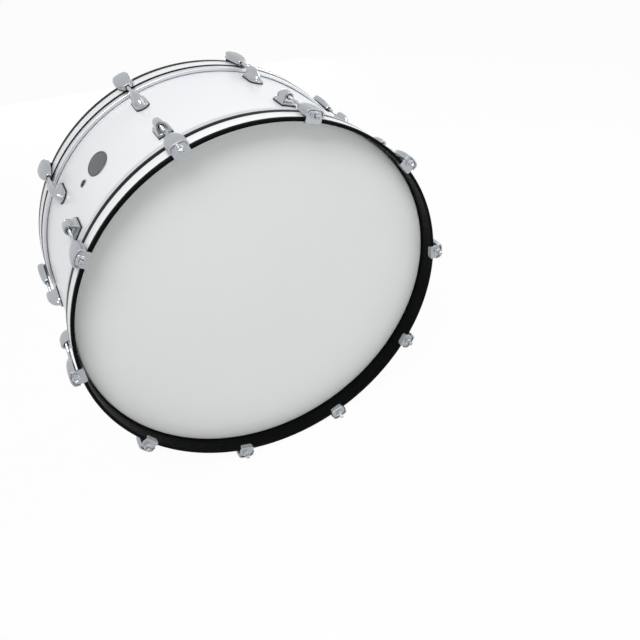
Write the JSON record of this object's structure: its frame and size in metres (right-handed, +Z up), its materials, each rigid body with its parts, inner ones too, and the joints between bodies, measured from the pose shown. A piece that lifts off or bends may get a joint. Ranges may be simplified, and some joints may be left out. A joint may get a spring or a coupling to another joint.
{
  "type": "marching bass drum",
  "caption": "Marching bass drum with a white wrapped shell, striped wooden hoops, claws, drum-key rods and cast lugs on both sides, and bare white heads",
  "frame": {"origin": "the middle of the drum in plan, on the floor under its four lowest claws", "axes": "+Y along the drum's axis towards the rear head, +Z up, +X to the right seen from the front head"},
  "size_m": [0.7076, 0.3816, 0.6773],
  "materials": {
    "shell_wrap": "white gloss wrap on a wooden ply shell",
    "head_film": "smooth white polyester film, satin",
    "hoop_lacquer": "black gloss lacquer on bent ply",
    "hoop_inlay": "white wrap strip let into the hoop",
    "flesh_hoop_alloy": "extruded, matte anodised",
    "claw_casting": "die-cast, satin plated",
    "lug_chrome": "die-cast, polished and plated",
    "chrome": "polished plating",
    "badge_metal": "dark coated plate, bare",
    "gasket_rubber": "moulded black rubber",
    "shell_ply": "clear-sealed maple ply"
  },
  "bodies": {
    "shell": {"shell": "shell_wrap", "vent_grommet": "chrome", "badge_plate": "badge_metal", "front_lug_01": "lug_chrome", "front_lug_02": "lug_chrome", "front_lug_03": "lug_chrome", "front_lug_04": "lug_chrome", "front_lug_05": "lug_chrome", "front_lug_06": "lug_chrome", "front_lug_07": "lug_chrome", "front_lug_08": "lug_chrome", "front_lug_09": "lug_chrome", "front_lug_10": "lug_chrome", "rear_lug_01": "lug_chrome", "rear_lug_02": "lug_chrome", "rear_lug_03": "lug_chrome", "rear_lug_04": "lug_chrome", "rear_lug_05": "lug_chrome", "rear_lug_06": "lug_chrome", "rear_lug_07": "lug_chrome", "rear_lug_08": "lug_chrome", "rear_lug_09": "lug_chrome", "rear_lug_10": "lug_chrome"},
    "front_hoop": {"front_hoop": "hoop_lacquer", "front_flesh_hoop": "flesh_hoop_alloy", "front_head_film": "head_film", "front_claw_01": "claw_casting", "front_claw_02": "claw_casting", "front_claw_03": "claw_casting", "front_claw_04": "claw_casting", "front_claw_05": "claw_casting", "front_claw_06": "claw_casting", "front_claw_07": "claw_casting", "front_claw_08": "claw_casting", "front_claw_09": "claw_casting", "front_claw_10": "claw_casting"},
    "rear_hoop": {"rear_hoop": "hoop_lacquer", "rear_flesh_hoop": "flesh_hoop_alloy", "rear_head_film": "head_film"},
    "front_tension_rod_01": {"front_tension_rod_01": "chrome"},
    "front_tension_rod_02": {"front_tension_rod_02": "chrome"},
    "front_tension_rod_03": {"front_tension_rod_03": "chrome"},
    "front_tension_rod_04": {"front_tension_rod_04": "chrome"},
    "front_tension_rod_05": {"front_tension_rod_05": "chrome"},
    "front_tension_rod_06": {"front_tension_rod_06": "chrome"},
    "front_tension_rod_07": {"front_tension_rod_07": "chrome"},
    "front_tension_rod_08": {"front_tension_rod_08": "chrome"},
    "front_tension_rod_09": {"front_tension_rod_09": "chrome"},
    "front_tension_rod_10": {"front_tension_rod_10": "chrome"},
    "rear_tension_rod_01": {"rear_tension_rod_01": "chrome"},
    "rear_tension_rod_02": {"rear_tension_rod_02": "chrome"},
    "rear_tension_rod_03": {"rear_tension_rod_03": "chrome"},
    "rear_tension_rod_04": {"rear_tension_rod_04": "chrome"},
    "rear_tension_rod_05": {"rear_tension_rod_05": "chrome"},
    "rear_tension_rod_06": {"rear_tension_rod_06": "chrome"},
    "rear_tension_rod_07": {"rear_tension_rod_07": "chrome"},
    "rear_tension_rod_08": {"rear_tension_rod_08": "chrome"},
    "rear_tension_rod_09": {"rear_tension_rod_09": "chrome"},
    "rear_tension_rod_10": {"rear_tension_rod_10": "chrome"}
  },
  "joints": [
    {"name": "front_hoop_slide", "type": "slide", "parent": "shell", "child": "front_hoop", "axis": [0, -1, 0], "range_m": [0, 0.01]},
    {"name": "rear_hoop_slide", "type": "slide", "parent": "shell", "child": "rear_hoop", "axis": [0, 1, 0], "range_m": [0, 0.01]},
    {"name": "front_tension_rod_01_turn", "type": "hinge", "parent": "front_hoop", "child": "front_tension_rod_01", "pos_m": [0.10615, -0.12, 0.66532], "axis": [0, -1, 0], "continuous": true},
    {"name": "front_tension_rod_02_turn", "type": "hinge", "parent": "front_hoop", "child": "front_tension_rod_02", "pos_m": [0.2779, -0.12, 0.54054], "axis": [0, -1, 0], "continuous": true},
    {"name": "front_tension_rod_03_turn", "type": "hinge", "parent": "front_hoop", "child": "front_tension_rod_03", "pos_m": [0.3435, -0.12, 0.33864], "axis": [0, -1, 0], "continuous": true},
    {"name": "front_tension_rod_04_turn", "type": "hinge", "parent": "front_hoop", "child": "front_tension_rod_04", "pos_m": [0.2779, -0.12, 0.13673], "axis": [0, -1, 0], "continuous": true},
    {"name": "front_tension_rod_05_turn", "type": "hinge", "parent": "front_hoop", "child": "front_tension_rod_05", "pos_m": [0.10615, -0.12, 0.01195], "axis": [0, -1, 0], "continuous": true},
    {"name": "front_tension_rod_06_turn", "type": "hinge", "parent": "front_hoop", "child": "front_tension_rod_06", "pos_m": [-0.10615, -0.12, 0.01195], "axis": [0, -1, 0], "continuous": true},
    {"name": "front_tension_rod_07_turn", "type": "hinge", "parent": "front_hoop", "child": "front_tension_rod_07", "pos_m": [-0.2779, -0.12, 0.13673], "axis": [0, -1, 0], "continuous": true},
    {"name": "front_tension_rod_08_turn", "type": "hinge", "parent": "front_hoop", "child": "front_tension_rod_08", "pos_m": [-0.3435, -0.12, 0.33864], "axis": [0, -1, 0], "continuous": true},
    {"name": "front_tension_rod_09_turn", "type": "hinge", "parent": "front_hoop", "child": "front_tension_rod_09", "pos_m": [-0.2779, -0.12, 0.54054], "axis": [0, -1, 0], "continuous": true},
    {"name": "front_tension_rod_10_turn", "type": "hinge", "parent": "front_hoop", "child": "front_tension_rod_10", "pos_m": [-0.10615, -0.12, 0.66532], "axis": [0, -1, 0], "continuous": true},
    {"name": "rear_tension_rod_01_turn", "type": "hinge", "parent": "rear_hoop", "child": "rear_tension_rod_01", "pos_m": [0.10615, 0.12, 0.66532], "axis": [0, 1, 0], "continuous": true},
    {"name": "rear_tension_rod_02_turn", "type": "hinge", "parent": "rear_hoop", "child": "rear_tension_rod_02", "pos_m": [0.2779, 0.12, 0.54054], "axis": [0, 1, 0], "continuous": true},
    {"name": "rear_tension_rod_03_turn", "type": "hinge", "parent": "rear_hoop", "child": "rear_tension_rod_03", "pos_m": [0.3435, 0.12, 0.33864], "axis": [0, 1, 0], "continuous": true},
    {"name": "rear_tension_rod_04_turn", "type": "hinge", "parent": "rear_hoop", "child": "rear_tension_rod_04", "pos_m": [0.2779, 0.12, 0.13673], "axis": [0, 1, 0], "continuous": true},
    {"name": "rear_tension_rod_05_turn", "type": "hinge", "parent": "rear_hoop", "child": "rear_tension_rod_05", "pos_m": [0.10615, 0.12, 0.01195], "axis": [0, 1, 0], "continuous": true},
    {"name": "rear_tension_rod_06_turn", "type": "hinge", "parent": "rear_hoop", "child": "rear_tension_rod_06", "pos_m": [-0.10615, 0.12, 0.01195], "axis": [0, 1, 0], "continuous": true},
    {"name": "rear_tension_rod_07_turn", "type": "hinge", "parent": "rear_hoop", "child": "rear_tension_rod_07", "pos_m": [-0.2779, 0.12, 0.13673], "axis": [0, 1, 0], "continuous": true},
    {"name": "rear_tension_rod_08_turn", "type": "hinge", "parent": "rear_hoop", "child": "rear_tension_rod_08", "pos_m": [-0.3435, 0.12, 0.33864], "axis": [0, 1, 0], "continuous": true},
    {"name": "rear_tension_rod_09_turn", "type": "hinge", "parent": "rear_hoop", "child": "rear_tension_rod_09", "pos_m": [-0.2779, 0.12, 0.54054], "axis": [0, 1, 0], "continuous": true},
    {"name": "rear_tension_rod_10_turn", "type": "hinge", "parent": "rear_hoop", "child": "rear_tension_rod_10", "pos_m": [-0.10615, 0.12, 0.66532], "axis": [0, 1, 0], "continuous": true}
  ],
  "couplings": [
    {"joint": "front_tension_rod_01_turn", "follows": "front_hoop_slide", "rad_per_m": 5936.9},
    {"joint": "front_tension_rod_02_turn", "follows": "front_hoop_slide", "rad_per_m": 5936.9},
    {"joint": "front_tension_rod_03_turn", "follows": "front_hoop_slide", "rad_per_m": 5936.9},
    {"joint": "front_tension_rod_04_turn", "follows": "front_hoop_slide", "rad_per_m": 5936.9},
    {"joint": "front_tension_rod_05_turn", "follows": "front_hoop_slide", "rad_per_m": 5936.9},
    {"joint": "front_tension_rod_06_turn", "follows": "front_hoop_slide", "rad_per_m": 5936.9},
    {"joint": "front_tension_rod_07_turn", "follows": "front_hoop_slide", "rad_per_m": 5936.9},
    {"joint": "front_tension_rod_08_turn", "follows": "front_hoop_slide", "rad_per_m": 5936.9},
    {"joint": "front_tension_rod_09_turn", "follows": "front_hoop_slide", "rad_per_m": 5936.9},
    {"joint": "front_tension_rod_10_turn", "follows": "front_hoop_slide", "rad_per_m": 5936.9},
    {"joint": "rear_tension_rod_01_turn", "follows": "rear_hoop_slide", "rad_per_m": 5936.9},
    {"joint": "rear_tension_rod_02_turn", "follows": "rear_hoop_slide", "rad_per_m": 5936.9},
    {"joint": "rear_tension_rod_03_turn", "follows": "rear_hoop_slide", "rad_per_m": 5936.9},
    {"joint": "rear_tension_rod_04_turn", "follows": "rear_hoop_slide", "rad_per_m": 5936.9},
    {"joint": "rear_tension_rod_05_turn", "follows": "rear_hoop_slide", "rad_per_m": 5936.9},
    {"joint": "rear_tension_rod_06_turn", "follows": "rear_hoop_slide", "rad_per_m": 5936.9},
    {"joint": "rear_tension_rod_07_turn", "follows": "rear_hoop_slide", "rad_per_m": 5936.9},
    {"joint": "rear_tension_rod_08_turn", "follows": "rear_hoop_slide", "rad_per_m": 5936.9},
    {"joint": "rear_tension_rod_09_turn", "follows": "rear_hoop_slide", "rad_per_m": 5936.9},
    {"joint": "rear_tension_rod_10_turn", "follows": "rear_hoop_slide", "rad_per_m": 5936.9}
  ]
}
